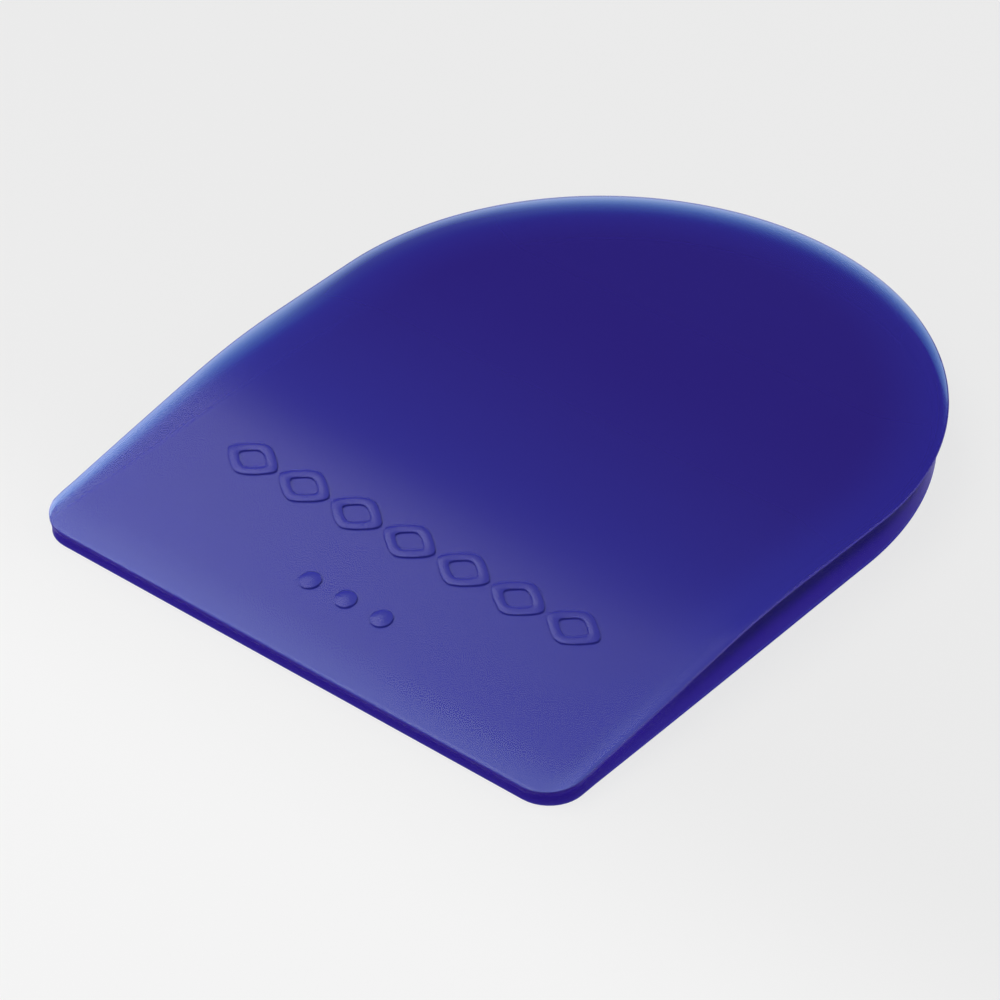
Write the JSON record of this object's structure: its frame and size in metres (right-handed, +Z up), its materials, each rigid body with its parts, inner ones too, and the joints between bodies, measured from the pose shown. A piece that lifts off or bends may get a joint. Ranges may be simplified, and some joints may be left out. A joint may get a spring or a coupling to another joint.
{
  "type": "heel cushion",
  "caption": "Soft silicone heel cushion for a shoe: a thin front wedge that rises into a shallow dish with a thin lip, flat underneath.",
  "frame": {"origin": "centre of the part's box, on the flat base that it rests on", "axes": "+Y from the thin front edge towards the back of the heel, +Z up from the base, +X across the foot"},
  "size_m": [0.066, 0.0796, 0.0062],
  "materials": {
    "silicone": "clear deep blue moulded silicone, satin, see-through at its thin lip"
  },
  "bodies": {
    "root": {"heel_cushion": "silicone"}
  },
  "joints": []
}
